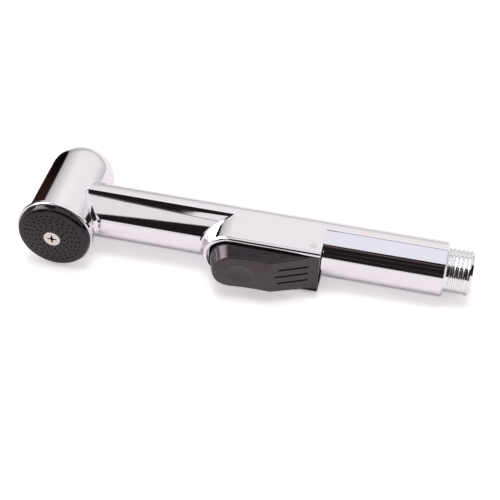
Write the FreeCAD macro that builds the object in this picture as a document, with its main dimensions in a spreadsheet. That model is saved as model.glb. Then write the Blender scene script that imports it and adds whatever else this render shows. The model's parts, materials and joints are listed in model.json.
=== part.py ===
import FreeCAD, Part
import math
import os
import Sketcher

# Handheld bath sprayer, lying on its side
# The handle runs along X, the hose end points to +X, the spray leaves along -Y, and Z is up.
# The origin is on the handle axis, in the plane of the shoulder where the hose nut stops.
# A station is a distance from the head's axis along the handle, in millimetres.

doc = FreeCAD.newDocument("BathSprayer")
sheet = doc.addObject("Spreadsheet::Sheet", "Sizes")
Z_AXIS = FreeCAD.Vector(0, 0, 1)


class Size:
    """A length with its number and the expression on the sheet that gives it."""

    def __init__(self, value, text):
        self.value = value
        self.text = text

    def __add__(self, other):
        other = as_size(other)
        return Size(self.value + other.value, f"({self.text} + {other.text})")

    def __radd__(self, other):
        return as_size(other) + self

    def __sub__(self, other):
        other = as_size(other)
        return Size(self.value - other.value, f"({self.text} - {other.text})")

    def __rsub__(self, other):
        return as_size(other) - self

    def __mul__(self, other):
        other = as_size(other)
        return Size(self.value * other.value, f"({self.text} * {other.text})")

    def __rmul__(self, other):
        return as_size(other) * self

    def __truediv__(self, other):
        other = as_size(other)
        return Size(self.value / other.value, f"({self.text} / {other.text})")

    def __neg__(self):
        return Size(-self.value, f"(0 - {self.text})")


def as_size(number):
    """Let a plain number stand beside a Size."""
    if isinstance(number, Size):
        return number
    return Size(float(number), str(float(number)))


def size(alias, value, meaning):
    """Write one driving dimension into the next row of the sheet."""
    row = size.rows = getattr(size, "rows", 0) + 1
    sheet.set(f"A{row}", meaning)
    sheet.set(f"B{row}", str(value))
    sheet.setAlias(f"B{row}", alias)
    return Size(float(value), f"Sizes.{alias}")


# Handle tube
handle_radius = size("handle_radius", 12.0, "outside radius of the handle")
handle_wall = size("handle_wall", 3.0, "wall of the handle tube")
head_reach = size("head_reach", 167.8, "from the hose shoulder to the axis of the head")
neck_fillet = size("neck_fillet", 2.2, "rounding where the handle meets the head")
end_bevel = size("end_bevel", 0.8, "bevel round the hose end of the handle")

# Head barrel and its dome
barrel_radius = size("barrel_radius", 15.15, "outside radius of the head")
barrel_wall = size("barrel_wall", 2.2, "wall of the head at its mouth")
barrel_front = size("barrel_front", 16.6, "from the handle axis to the head's front edge")
dome_setback = size("dome_setback", 17.3, "from the handle axis back to the dome's centre")
seat_step = size("seat_step", 1.0, "width of the inner step that the nozzle carrier rests on")
seat_depth = size("seat_depth", 6.6, "from the head's front edge back to that step")
web_thickness = size("web_thickness", 5.0, "web between the head chamber and the handle bore")

# Chrome ring and spray plate
ring_overhang = size("ring_overhang", 1.75, "chrome ring beyond the outside of the head")
ring_length = size("ring_length", 2.4, "chrome ring in front of the head's edge")
ring_flare = size("ring_flare", 1.7, "length over which the ring widens")
ring_round = size("ring_round", 0.6, "rounding of the ring's front edge")
ring_spigot = size("ring_spigot", 2.6, "part of the ring inside the head")
gasket_land = size("gasket_land", 2.2, "width of the ring inside the gasket")
gasket_width = size("gasket_width", 1.6, "width of the flat gasket under the plate")
gasket_thickness = size("gasket_thickness", 1.0, "thickness of the flat gasket")
plate_step = size("plate_step", 0.7, "chrome ring beyond the spray plate")
plate_edge = size("plate_edge", 3.3, "height of the spray plate's edge")
plate_draft = size("plate_draft", 0.45, "how much smaller the plate is at its front edge")
plate_crown = size("plate_crown", 1.2, "rise of the plate's middle above its front edge")
plate_round = size("plate_round", 0.9, "rounding of the plate's front edge")
plate_wall = size("plate_wall", 2.0, "thickness of the perforated face")
plate_rim = size("plate_rim", 2.8, "wall of the spray plate round its water space")
hole_radius = size("hole_radius", 0.33, "radius over the corners of one spray hole")
first_ring = size("first_ring", 5.65, "radius of the innermost ring of spray holes")
ring_pitch = size("ring_pitch", 1.65, "step from one ring of holes to the next")
HOLES_IN_RING = (13, 16, 20, 24, 30)
RING_TURNS = (3, 15, 0, 0, 0)
HOLE_SIDES = 6

# Centre screw and the carrier behind the plate
screw_head_radius = size("screw_head_radius", 3.9, "radius of the countersunk screw head")
screw_head_depth = size("screw_head_depth", 2.1, "depth of the countersunk cone")
screw_radius = size("screw_radius", 2.0, "radius of the screw's shank")
screw_length = size("screw_length", 12.0, "length of the screw with its head")
recess_depth = size("recess_depth", 1.3, "depth of the cross recess")
recess_width = size("recess_width", 0.8, "width of each slot of the cross recess")
recess_span = size("recess_span", 4.2, "length of each slot of the cross recess")
insert_wall = size("insert_wall", 1.1, "wall of the brass insert")
hub_wall = size("hub_wall", 1.5, "wall of the hub round the insert")
carrier_thickness = size("carrier_thickness", 3.6, "thickness of the carrier's rim and spokes")
carrier_rim = size("carrier_rim", 1.9, "width of the carrier's rim")
spoke_width = size("spoke_width", 2.4, "width of each carrier spoke")

# Trigger housing on the front of the handle
round_station = size("round_station", 77.0, "station of the centre of the housing's round end")
housing_end = size("housing_end", 115.6, "station of the housing's flat end")
housing_rise = size("housing_rise", 3.8, "housing front in front of the handle")
housing_wall = size("housing_wall", 2.0, "wall round the trigger opening")
housing_round = size("housing_round", 0.8, "rounding of the housing's front edge")
floor_wall = size("floor_wall", 1.4, "floor of the trigger well over the handle bore")
pin_station = size("pin_station", 111.8, "station of the trigger's pivot pin")
pin_inset = size("pin_inset", 3.3, "pivot pin behind the housing front")
pin_radius = size("pin_radius", 1.5, "radius of the pivot pin")

# Trigger lever
lever_gap = size("lever_gap", 0.5, "gap between the lever and the opening")
lever_sink = size("lever_sink", 0.9, "lever base behind the housing front")
lever_draft = size("lever_draft", 1.3, "how much narrower the lever is at its top")
nose_shift = size("nose_shift", 3.0, "extra slope of the lever's round end")
nose_rise = size("nose_rise", 10.1, "lever nose in front of the housing")
dip_rise = size("dip_rise", 8.95, "finger dip in front of the housing")
ridge_rise = size("ridge_rise", 8.85, "ridge in front of the housing")
tail_rise = size("tail_rise", 0.5, "lever tail in front of the housing")
tail_flat = size("tail_flat", 2.6, "length of the flat at the lever's tail")
crown_radius = size("crown_radius", 40.0, "radius of the finger face across the lever")
ridge_bow = size("ridge_bow", 3.2, "the crowned finger face runs on past the ridge's middle")
nose_back = size("nose_back", 6.5, "from the lever's round end to the front of its nose")
nose_length = size("nose_length", 4.2, "length of the round nose along the handle")
nose_drop = size("nose_drop", 1.95, "drop of the round nose towards the housing")
nose_round = size("nose_round", 5.5, "radius of the round nose")
dip_round = size("dip_round", 100.0, "radius of the finger dip between nose and ridge")
ridge_station = size("ridge_station", 94.2, "station of the ridge in the lever's middle")
lever_wall = size("lever_wall", 1.9, "wall of the hollow lever")
lever_round = size("lever_round", 0.6, "rounding of the lever's outer edges")
dimple_station = size("dimple_station", 84.4, "station of the finger dimple")
dimple_depth = size("dimple_depth", 1.1, "depth of the finger dimple")
dimple_reach = size("dimple_reach", 8.5, "half length of the barrel that turns the dimple")
dimple_drop = size("dimple_drop", 2.64, "how much that barrel narrows to its ends")
dimple_roll = size("dimple_roll", 14.5, "radius of that barrel at its middle")
groove_pitch = size("groove_pitch", 3.75, "step between the three grip grooves")
groove_width = size("groove_width", 0.9, "width of a grip groove")
groove_depth = size("groove_depth", 0.6, "depth of a grip groove")
groove_start = size("groove_start", 3.8, "the middle groove begins this far behind the ridge")
groove_lag = size("groove_lag", 1.1, "the outer grooves begin this far behind the middle one")
groove_stop = size("groove_stop", 1.7, "grip grooves end this far before the flat at the tail")
ear_radius = size("ear_radius", 3.0, "radius of the lever's pivot ears")
ear_width = size("ear_width", 3.6, "width of each pivot ear")
post_radius = size("post_radius", 2.6, "radius of the post that pushes the valve stem")
CROWN_SWEEP = 60

# Valve
stem_station = size("stem_station", 90.0, "station of the valve stem")
valve_length = size("valve_length", 26.0, "length of the valve body")
valve_gap = size("valve_gap", 0.2, "radial gap between inner parts and the handle bore")
stem_radius = size("stem_radius", 1.5, "radius of the valve stem")
stem_gap = size("stem_gap", 0.05, "running gap round the stem and the pivot pin")
stem_proud = size("stem_proud", 4.6, "valve stem in front of the well's floor")
gland_radius = size("gland_radius", 4.2, "radius of the gland nut's body")
gland_flange = size("gland_flange", 5.6, "half the width across the gland nut's flats")
GLAND_FLATS = 6
gland_head = size("gland_head", 1.6, "height of the gland nut's head")
gland_depth = size("gland_depth", 5.2, "gland nut below the well's floor")
seat_radius = size("seat_radius", 2.7, "radius of the valve seat's opening")
seat_front = size("seat_front", 2.6, "valve seat in front of the handle axis")
seat_web = size("seat_web", 1.0, "thickness of the valve seat")
disc_radius = size("disc_radius", 3.8, "radius of the rubber valve disc")
disc_thickness = size("disc_thickness", 1.2, "thickness of the rubber valve disc")
flange_thickness = size("flange_thickness", 0.7, "thickness of the flange behind the disc")
chamber_gap = size("chamber_gap", 0.8, "gap between the valve disc and its chamber")
plug_thickness = size("plug_thickness", 2.4, "thickness of the plug behind the spring")
plug_inset = size("plug_inset", 1.6, "back face of that plug inside the handle bore")
wire_radius = size("wire_radius", 0.3, "radius of the spring's wire")
coil_radius = size("coil_radius", 2.7, "mean radius of the spring's coil")
COIL_TURNS = 4
WIRE_SIDES = 5
outlet_radius = size("outlet_radius", 1.0, "radius of the passage in front of the valve seat")
inlet_radius = size("inlet_radius", 2.0, "radius of the passage behind the valve seat")
gland_step = size("gland_step", 1.0, "how much narrower the cross bore is under the gland")

# Water tubes and their seals
tube_radius = size("tube_radius", 4.0, "outside radius of the water tubes")
tube_bore = size("tube_bore", 2.8, "inside radius of the water tubes")
collar_radius = size("collar_radius", 5.0, "radius of the collars on the tube ends")
collar_length = size("collar_length", 5.6, "length of those collars")
socket_depth = size("socket_depth", 6.0, "depth of the sockets that take the tube ends")
end_gap = size("end_gap", 0.2, "gap between a tube end and its socket's floor")
socket_gap = size("socket_gap", 0.1, "radial gap between a collar and its socket")
seal_radius = size("seal_radius", 0.75, "radius of the rubber ring's section")
seal_squeeze = size("seal_squeeze", 0.02, "clearance between a ring and what it touches")
SEAL_SIDES = 6

# Threaded hose nipple
nipple_length = size("nipple_length", 11.0, "hose thread beyond the handle")
thread_radius = size("thread_radius", 10.4775, "outside radius of the G1/2 hose thread")
nipple_bevel = size("nipple_bevel", 1.0, "bevel at the end of the thread")
nipple_mouth = size("nipple_mouth", 6.5, "radius of the nipple's mouth")
mouth_depth = size("mouth_depth", 10.0, "depth of the nipple's mouth")
spigot_length = size("spigot_length", 17.8, "part of the nipple inside the handle")

# Clearances that many parts share
move_gap = size("move_gap", 0.3, "clear distance between parts that move past each other")
cut_past = size("cut_past", 1.0, "how far a cut reaches past the face that it opens")

# Places that follow from the sizes above
bore_radius = handle_radius - handle_wall
ring_radius = barrel_radius + ring_overhang
plate_radius = ring_radius - plate_step
plate_recess = plate_radius - plate_rim
ring_opening = plate_recess - gasket_land
mouth_radius = barrel_radius - barrel_wall
chamber_radius = mouth_radius - seat_step
seat_y = barrel_front - seat_depth
ring_front = barrel_front + ring_length
plate_edge_front = ring_front + plate_edge
plate_inside = plate_edge_front - plate_wall
plate_front = plate_edge_front + plate_crown
housing_front = handle_radius + housing_rise
opening_half = handle_radius - housing_wall
well_floor = bore_radius + floor_wall
pin_front = housing_front - pin_inset
lever_base = housing_front - lever_sink
lever_half = opening_half - lever_gap
lever_end = housing_end - end_gap
nose_station = round_station - lever_half + nose_back
flat_station = lever_end - tail_flat
lever_front = housing_front + nose_rise
tail_slope = (ridge_rise - tail_rise) / (flat_station - ridge_station)
crown_drop = lever_half * lever_half / (2 * crown_radius)
stem_tip = well_floor + stem_proud
inner_radius = bore_radius - valve_gap
plug_back = inner_radius - plug_inset
chamber_half = disc_radius + chamber_gap
head_x = -head_reach
stem_x = stem_station - head_reach
ZERO = as_size(0)
volumes = {}


def bind(thing, path, length):
    """Tie one property of an object to the sheet."""
    thing.setExpression(path, as_size(length).text)


def new_body(label, x=ZERO, y=ZERO):
    """Start a sub-part whose own origin lies at x, y on the part."""
    body = doc.addObject("PartDesign::Body", label)
    body.Label = label
    bind(body, "Placement.Base.x", x)
    bind(body, "Placement.Base.y", y)
    return body


def origin_plane(body, role):
    """One of the body's own origin planes."""
    for feature in body.Origin.OriginFeatures:
        if feature.Role == role:
            return feature
    raise RuntimeError(f"{body.Label} has no {role}")


def new_sketch(body, role, offset=ZERO, shift=ZERO):
    """A sketch on an origin plane, moved by offset along its normal and by shift along its own Y."""
    sketch = body.newObject("Sketcher::SketchObject", f"{body.Name}_sketch")
    sketch.AttachmentSupport = (origin_plane(body, role), [""])
    sketch.MapMode = "FlatFace"
    bind(sketch, "AttachmentOffset.Base.y", shift)
    bind(sketch, "AttachmentOffset.Base.z", offset)
    return sketch


def pin_point(sketch, geometry, end, across, along):
    """Hold one point of the sketch at two sizes measured from its origin."""
    for kind, axis, length in (("DistanceX", -2, as_size(across)), ("DistanceY", -1, as_size(along))):
        if length.value == 0:
            sketch.addConstraint(Sketcher.Constraint("PointOnObject", geometry, end, axis))
            continue
        index = sketch.addConstraint(Sketcher.Constraint(kind, -1, 1, geometry, end, length.value))
        sketch.setExpression(f"Constraints[{index}]", length.text)


def arc_between(start, end, radius):
    """An arc from start to end; a positive radius bulges to the left of the way between them."""
    chord = end - start
    half = chord.Length / 2
    left = FreeCAD.Vector(-chord.y, chord.x, 0).normalize() * math.copysign(1, radius)
    rise = abs(radius) - math.sqrt(max(radius * radius - half * half, 0))
    middle = start + chord / 2 + left * rise
    return Part.Arc(start, middle, end)


def draw_outline(sketch, corners):
    """A closed outline of lines and arcs; a corner's third entry is the radius of the arc it starts."""
    corners = [tuple(as_size(entry) for entry in corner) for corner in corners]
    points = [FreeCAD.Vector(corner[0].value, corner[1].value, 0) for corner in corners]
    starts = []
    for number, corner in enumerate(corners):
        here, there = points[number], points[(number + 1) % len(points)]
        if len(corner) == 2:
            geometry = sketch.addGeometry(Part.LineSegment(here, there))
            starts.append((geometry, 1, 2))
            continue
        geometry = sketch.addGeometry(arc_between(here, there, corner[2].value))
        clockwise = corner[2].value > 0
        starts.append((geometry, 2, 1) if clockwise else (geometry, 1, 2))
        index = sketch.addConstraint(Sketcher.Constraint("Radius", geometry, abs(corner[2].value)))
        sketch.setExpression(f"Constraints[{index}]", f"abs({corner[2].text})")
    for number, (geometry, start, end) in enumerate(starts):
        after, after_start, after_end = starts[(number + 1) % len(starts)]
        sketch.addConstraint(Sketcher.Constraint("Coincident", geometry, end, after, after_start))
        pin_point(sketch, geometry, start, corners[number][0], corners[number][1])
    return sketch


def draw_circle(sketch, across, along, radius):
    """A circle whose centre and radius follow the sheet."""
    centre = FreeCAD.Vector(as_size(across).value, as_size(along).value, 0)
    geometry = sketch.addGeometry(Part.Circle(centre, Z_AXIS, radius.value))
    index = sketch.addConstraint(Sketcher.Constraint("Radius", geometry, radius.value))
    sketch.setExpression(f"Constraints[{index}]", radius.text)
    pin_point(sketch, geometry, 3, across, along)
    return sketch


def box_corners(left, right, bottom, top):
    """Corners of a rectangle."""
    return [(left, bottom), (right, bottom), (right, top), (left, top)]


def polygon_corners(sides, radius, across=0, along=0):
    """Corners of a regular polygon round a centre, at a radius over its corners."""
    corners = []
    for number in range(sides):
        angle = 2 * math.pi * number / sides
        corners.append((across + radius * math.cos(angle), along + radius * math.sin(angle)))
    return corners


def stadium_corners(centre, radius, end):
    """A plan with a round left end and a flat right end, the shape of the trigger and its housing."""
    return [
        (centre, -radius),
        (end, -radius),
        (end, radius),
        (centre, radius, -radius),
        (centre - radius, 0, -radius),
    ]


def finish_feature(body, feature, grows):
    """Check that a feature really adds or removes material."""
    before = volumes.get(body.Name, 0.0)
    doc.recompute()
    after = feature.Shape.Volume
    if grows != (after > before):
        raise RuntimeError(f"{feature.Name} in {body.Label} did not change the solid as meant")
    volumes[body.Name] = after
    return feature


def revolve(body, corners, axis, grows=True):
    """Turn a closed outline in the XY plane about H_Axis (along X) or V_Axis (along Y)."""
    sketch = draw_outline(new_sketch(body, "XY_Plane"), corners)
    kind = "PartDesign::Revolution" if grows else "PartDesign::Groove"
    feature = body.newObject(kind, f"{body.Name}_turn")
    feature.Profile = sketch
    feature.ReferenceAxis = (sketch, [axis])
    feature.Angle = 360
    return finish_feature(body, feature, grows)


def turn_away(body, sketch, angle):
    """Cut a profile turned about the sketch's own X axis, half the angle to each side."""
    feature = body.newObject("PartDesign::Groove", f"{body.Name}_turn")
    feature.Profile = sketch
    feature.ReferenceAxis = (sketch, ["H_Axis"])
    feature.Midplane = True
    feature.Angle = angle
    return finish_feature(body, feature, False)


def pad(body, sketch, length, midplane=False, backwards=False):
    """Add a straight extrusion."""
    feature = body.newObject("PartDesign::Pad", f"{body.Name}_pad")
    feature.Profile = sketch
    feature.Midplane = midplane
    feature.Reversed = backwards
    bind(feature, "Length", length)
    return finish_feature(body, feature, True)


def pocket(body, sketch, length, midplane=False, backwards=False):
    """Cut a straight pocket."""
    feature = body.newObject("PartDesign::Pocket", f"{body.Name}_pocket")
    feature.Profile = sketch
    feature.Midplane = midplane
    feature.Reversed = backwards
    bind(feature, "Length", length)
    return finish_feature(body, feature, False)


def loft(body, sketches):
    """Add a loft through sketches on parallel planes."""
    feature = body.newObject("PartDesign::AdditiveLoft", f"{body.Name}_loft")
    feature.Profile = sketches[0]
    feature.Sections = sketches[1:]
    feature.Ruled = True
    return finish_feature(body, feature, True)


def pattern(body, feature, copies):
    """Repeat a cut evenly round the normal of its sketch."""
    repeat = body.newObject("PartDesign::PolarPattern", f"{body.Name}_pattern")
    repeat.Originals = [feature]
    repeat.Occurrences = copies
    repeat.Axis = (feature.Profile[0], ["N_Axis"])
    repeat.Angle = 360
    body.Tip = repeat
    return finish_feature(body, repeat, False)


def edges_where(feature, wanted):
    """Names of the edges of a feature whose middle point passes a test."""
    names = []
    for number, edge in enumerate(feature.Shape.Edges, start=1):
        middle = edge.valueAt((edge.FirstParameter + edge.LastParameter) / 2)
        if wanted(middle, edge):
            names.append(f"Edge{number}")
    if not names:
        raise RuntimeError(f"no edge of {feature.Name} fits")
    return names


def round_edges(body, feature, radius, wanted, kind="Fillet"):
    """Fillet or bevel the edges that pass a test."""
    names = edges_where(feature, wanted)
    dressed = body.newObject(f"PartDesign::{kind}", f"{body.Name}_edge")
    dressed.Base = (feature, names)
    bind(dressed, "Radius" if kind == "Fillet" else "Size", radius)
    body.Tip = dressed
    doc.recompute()
    volumes[body.Name] = dressed.Shape.Volume
    return dressed


def near(first, second):
    """True where two numbers agree to a hundredth of a millimetre."""
    return abs(first - second) < 0.01


# Chrome shell: domed head, handle tube and trigger housing in one moulding
def dome_corners(radius, front, centre):
    """Half the section of a cup with a hemispherical back, about the Y axis."""
    return [(0, -front), (radius, -front), (radius, centre, -radius), (0, centre + radius)]


def make_shell():
    body = new_body("shell", head_x)
    revolve(body, dome_corners(barrel_radius, barrel_front, dome_setback), "V_Axis")
    tube = pad(body, draw_circle(new_sketch(body, "YZ_Plane"), 0, 0, handle_radius), head_reach)
    neck = round_edges(body, tube, neck_fillet, is_neck)
    plan = stadium_corners(round_station, handle_radius, housing_end)
    pad(body, draw_outline(new_sketch(body, "XZ_Plane"), plan), housing_front)
    add_shell_edges(body)
    chamber = dome_corners(chamber_radius, barrel_front, dome_setback)
    revolve(body, chamber, "V_Axis", grows=False)
    mouth = box_corners(ZERO, mouth_radius, -barrel_front - cut_past, -seat_y)
    revolve(body, mouth, "V_Axis", grows=False)
    bore_start = chamber_radius + web_thickness
    bore = box_corners(bore_start, head_reach + cut_past, ZERO, bore_radius)
    revolve(body, bore, "H_Axis", grows=False)
    web_hole = box_corners(chamber_radius / 2, bore_start + cut_past, ZERO, collar_radius + socket_gap)
    revolve(body, web_hole, "H_Axis", grows=False)
    cut_trigger_well(body)
    return body


def is_neck(middle, edge):
    """The curve where the handle tube meets the barrel."""
    on_handle = near(math.hypot(middle.y, middle.z), handle_radius.value)
    beside_barrel = middle.x < (barrel_radius + cut_past).value
    return on_handle and beside_barrel and edge.Curve.TypeId != "Part::GeomLine"


def add_shell_edges(body):
    """Round the front edge of the housing and bevel the hose end of the handle."""

    def is_front_edge(middle, edge):
        return near(middle.y, -housing_front.value)

    def is_hose_edge(middle, edge):
        return near(middle.x, head_reach.value)

    rounded = round_edges(body, body.Tip, housing_round, is_front_edge)
    round_edges(body, rounded, end_bevel, is_hose_edge, "Chamfer")


def cut_trigger_well(body):
    """The well for the lever, the slots for its ears, the gland's hole and the pin's holes."""
    depth = housing_front - well_floor + cut_past
    well = stadium_corners(round_station, opening_half, housing_end)
    sketch = draw_outline(new_sketch(body, "XZ_Plane", well_floor), well)
    pocket(body, sketch, depth, backwards=True)
    ear_bottom = pin_front - ear_radius - move_gap
    ear_inner = lever_half - ear_width - move_gap
    for side in (1, -1):
        low, high = (ear_inner, opening_half) if side > 0 else (-opening_half, -ear_inner)
        slot = box_corners(pin_station - ear_radius - move_gap, housing_end, low, high)
        sketch = draw_outline(new_sketch(body, "XZ_Plane", ear_bottom), slot)
        pocket(body, sketch, depth, backwards=True)
    hole = draw_circle(new_sketch(body, "XZ_Plane"), stem_station, 0, gland_radius + socket_gap)
    pocket(body, hole, housing_front, backwards=True)
    pin_hole = draw_circle(new_sketch(body, "XY_Plane"), pin_station, -pin_front, pin_radius)
    pocket(body, pin_hole, 2 * (handle_radius + cut_past), midplane=True)


# Chrome ring round the spray plate
def make_face_ring():
    body = new_body("face_ring", head_x)
    spigot = mouth_radius - socket_gap
    gasket_outer = plate_recess + gasket_width
    section = [
        (ring_opening, -barrel_front + ring_spigot),
        (ring_opening, -ring_front + gasket_thickness),
        (gasket_outer + stem_gap, -ring_front + gasket_thickness),
        (gasket_outer + stem_gap, -ring_front),
        (ring_radius, -ring_front),
        (ring_radius, -barrel_front - ring_flare),
        (barrel_radius, -barrel_front),
        (spigot, -barrel_front),
        (spigot, -barrel_front + ring_spigot),
    ]
    turned = revolve(body, section, "V_Axis")

    def is_front_rim(middle, edge):
        on_rim = near(math.hypot(middle.x, middle.z), ring_radius.value)
        return on_rim and near(middle.y, -ring_front.value)

    round_edges(body, turned, ring_round, is_front_rim)
    return body


# Perforated spray plate
def make_spray_plate():
    body = new_body("spray_plate", head_x)
    front_radius = plate_radius - plate_draft
    crown_radius = (front_radius * front_radius + plate_crown * plate_crown) / (2 * plate_crown)
    section = [
        (screw_radius + socket_gap, -plate_front),
        (screw_radius + socket_gap, -plate_inside),
        (plate_recess, -plate_inside),
        (plate_recess, -ring_front),
        (plate_radius, -ring_front),
        (front_radius, -plate_edge_front, crown_radius),
    ]
    turned = revolve(body, section, "V_Axis")

    def is_front_edge(middle, edge):
        return near(math.hypot(middle.x, middle.z), front_radius.value)

    round_edges(body, turned, plate_round, is_front_edge)
    sink = [
        (0, -plate_front - cut_past),
        (screw_head_radius, -plate_front - cut_past),
        (screw_head_radius, -plate_front),
        (screw_radius, -plate_front + screw_head_depth),
        (0, -plate_front + screw_head_depth),
    ]
    revolve(body, sink, "V_Axis", grows=False)
    for number, (count, turn) in enumerate(zip(HOLES_IN_RING, RING_TURNS)):
        angle = math.radians(turn)
        ring = first_ring + number * ring_pitch
        corners = polygon_corners(HOLE_SIDES, hole_radius, ring * math.cos(angle), ring * math.sin(angle))
        sketch = draw_outline(new_sketch(body, "XZ_Plane"), corners)
        hole = pocket(body, sketch, plate_front + cut_past, backwards=True)
        pattern(body, hole, count)
    return body


# Cross-recess screw through the plate
def make_plate_screw():
    body = new_body("plate_screw", head_x, -plate_front)
    section = [
        (0, 0),
        (screw_head_radius - stem_gap, 0),
        (screw_radius, screw_head_depth),
        (screw_radius, screw_length),
        (0, screw_length),
    ]
    revolve(body, section, "V_Axis")
    for across, along in ((recess_span, recess_width), (recess_width, recess_span)):
        slot = box_corners(-across / 2, across / 2, -along / 2, along / 2)
        sketch = draw_outline(new_sketch(body, "XZ_Plane", -recess_depth), slot)
        pocket(body, sketch, 2 * recess_depth, backwards=True)
    return body


# Flat gasket between the ring and the plate
def make_plate_gasket():
    body = new_body("plate_gasket", head_x, -ring_front)
    section = box_corners(plate_recess + stem_gap, plate_recess + gasket_width, ZERO, gasket_thickness)
    revolve(body, section, "V_Axis")
    return body


hub_length = plate_inside - seat_y - move_gap


# Carrier behind the plate: a rim on the head's inner step, spokes, and a hub for the screw
def make_nozzle_carrier():
    body = new_body("nozzle_carrier", head_x, -seat_y)
    outer = mouth_radius - socket_gap
    rim = box_corners(outer - carrier_rim, outer, -carrier_thickness, ZERO)
    revolve(body, rim, "V_Axis")
    hub_radius = screw_radius + insert_wall + hub_wall
    hub = box_corners(ZERO, hub_radius, -hub_length, ZERO)
    revolve(body, hub, "V_Axis")
    long, short = outer - carrier_rim / 2, spoke_width / 2
    for across, along in ((long, short), (short, long)):
        spoke = draw_outline(new_sketch(body, "XZ_Plane"), box_corners(-across, across, -along, along))
        pad(body, spoke, carrier_thickness)
    hole = box_corners(ZERO, screw_radius + insert_wall, -hub_length - cut_past, cut_past)
    revolve(body, hole, "V_Axis", grows=False)
    return body


# Threaded brass insert that the screw bites into
def make_screw_insert():
    body = new_body("screw_insert", head_x, -seat_y - hub_length)
    outer = screw_radius + insert_wall - stem_gap
    revolve(body, box_corners(screw_radius + stem_gap, outer, ZERO, hub_length), "V_Axis")
    return body


# Rubber rings in square grooves
seal_centre = collar_radius + socket_gap - seal_squeeze - seal_radius
groove_floor = seal_centre - seal_radius - seal_squeeze
groove_half = seal_radius + 2 * seal_squeeze
nipple_seal_centre = bore_radius - seal_squeeze - seal_radius


def make_ring_seal(label, x, y, axis, centre):
    """A rubber ring of six-sided section, round an axis along X or Y."""
    body = new_body(label, x, y)
    across, along = (ZERO, centre) if axis == "H_Axis" else (centre, ZERO)
    revolve(body, polygon_corners(SEAL_SIDES, seal_radius, across, along), axis)
    return body


# Water tubes along the handle
def make_tube(label, start, length):
    """A tube with a grooved collar at each end, from a start on the handle axis."""
    body = new_body(label, start)
    inner_end = length - collar_length
    section = [
        (0, tube_bore),
        (length, tube_bore),
        (length, collar_radius),
        (inner_end, collar_radius),
        (inner_end, tube_radius),
        (collar_length, tube_radius),
        (collar_length, collar_radius),
        (0, collar_radius),
    ]
    revolve(body, section, "H_Axis")
    for middle in (collar_length / 2, length - collar_length / 2):
        low, high = middle - groove_half, middle + groove_half
        groove = box_corners(low, high, groove_floor, collar_radius + cut_past)
        revolve(body, groove, "H_Axis", grows=False)
    return body


water_tube_start = head_x + chamber_radius + end_gap
valve_head_end = stem_x - valve_length / 2
valve_hose_end = stem_x + valve_length / 2
water_tube_length = valve_head_end + socket_depth - end_gap - water_tube_start
feed_tube_start = valve_hose_end - socket_depth + end_gap
feed_tube_length = -spigot_length + socket_depth - end_gap - feed_tube_start


# Valve body: a round block in the handle bore with a cross bore for the stem
def make_valve_body():
    body = new_body("valve_body", stem_x)
    half = valve_length / 2
    block = draw_circle(new_sketch(body, "YZ_Plane"), 0, 0, inner_radius)
    pad(body, block, valve_length, midplane=True)
    socket_radius = collar_radius + socket_gap
    inner_end, outer_end = half - socket_depth, half + cut_past
    for low, high in ((-outer_end, -inner_end), (inner_end, outer_end)):
        revolve(body, box_corners(low, high, ZERO, socket_radius), "H_Axis", grows=False)
    gland_floor = well_floor - gland_depth
    cross_bore = [
        (0, -bore_radius - cut_past),
        (gland_radius + socket_gap, -bore_radius - cut_past),
        (gland_radius + socket_gap, -gland_floor),
        (gland_radius - gland_step, -gland_floor),
        (gland_radius - gland_step, -seat_front - seat_web),
        (seat_radius, -seat_front - seat_web),
        (seat_radius, -seat_front),
        (chamber_half, -seat_front),
        (chamber_half, bore_radius + cut_past),
        (0, bore_radius + cut_past),
    ]
    revolve(body, cross_bore, "V_Axis", grows=False)
    outlet_y = -(gland_floor + seat_front + seat_web) / 2
    outlet = draw_circle(new_sketch(body, "YZ_Plane"), outlet_y, 0, outlet_radius)
    pocket(body, outlet, half)
    inlet = draw_circle(new_sketch(body, "YZ_Plane"), disc_thickness, 0, inlet_radius)
    pocket(body, inlet, half, backwards=True)
    return body


# Gland nut: clamps the valve body to the well's floor and guides the stem
def make_gland_nut():
    body = new_body("gland_nut", stem_x, -well_floor)
    hexagon = polygon_corners(GLAND_FLATS, gland_flange / math.cos(math.pi / GLAND_FLATS))
    pad(body, draw_outline(new_sketch(body, "XZ_Plane"), hexagon), gland_head)
    stem_hole = stem_radius + stem_gap
    seal_pocket = stem_radius + 2 * (seal_radius + seal_squeeze)
    section = box_corners(ZERO, gland_radius, ZERO, gland_depth - end_gap)
    revolve(body, section, "V_Axis")
    hole = box_corners(ZERO, stem_hole, -gland_head - cut_past, gland_depth + cut_past)
    revolve(body, hole, "V_Axis", grows=False)
    low, high = gland_depth / 2 - groove_half, gland_depth / 2 + groove_half
    revolve(body, box_corners(ZERO, seal_pocket + stem_gap, low, high), "V_Axis", grows=False)
    return body


# Valve stem: domed tip, shank and the flange behind the rubber disc
def make_valve_stem():
    body = new_body("valve_stem", stem_x)
    disc_back = -seat_front + disc_thickness
    pilot = coil_radius - wire_radius - 2 * stem_gap
    section = [
        (0, -stem_tip),
        (stem_radius / 2, -stem_tip),
        (stem_radius, -stem_tip + stem_radius / 2),
        (stem_radius, disc_back),
        (disc_radius, disc_back),
        (disc_radius, disc_back + flange_thickness),
        (pilot, disc_back + flange_thickness),
        (pilot, disc_back + 2 * flange_thickness),
        (0, disc_back + 2 * flange_thickness),
    ]
    revolve(body, section, "V_Axis")
    return body


# Rubber disc on the stem
def make_valve_disc():
    body = new_body("valve_disc", stem_x, -seat_front)
    section = box_corners(stem_radius, disc_radius, end_gap / 2, disc_thickness)
    revolve(body, section, "V_Axis")
    return body


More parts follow.
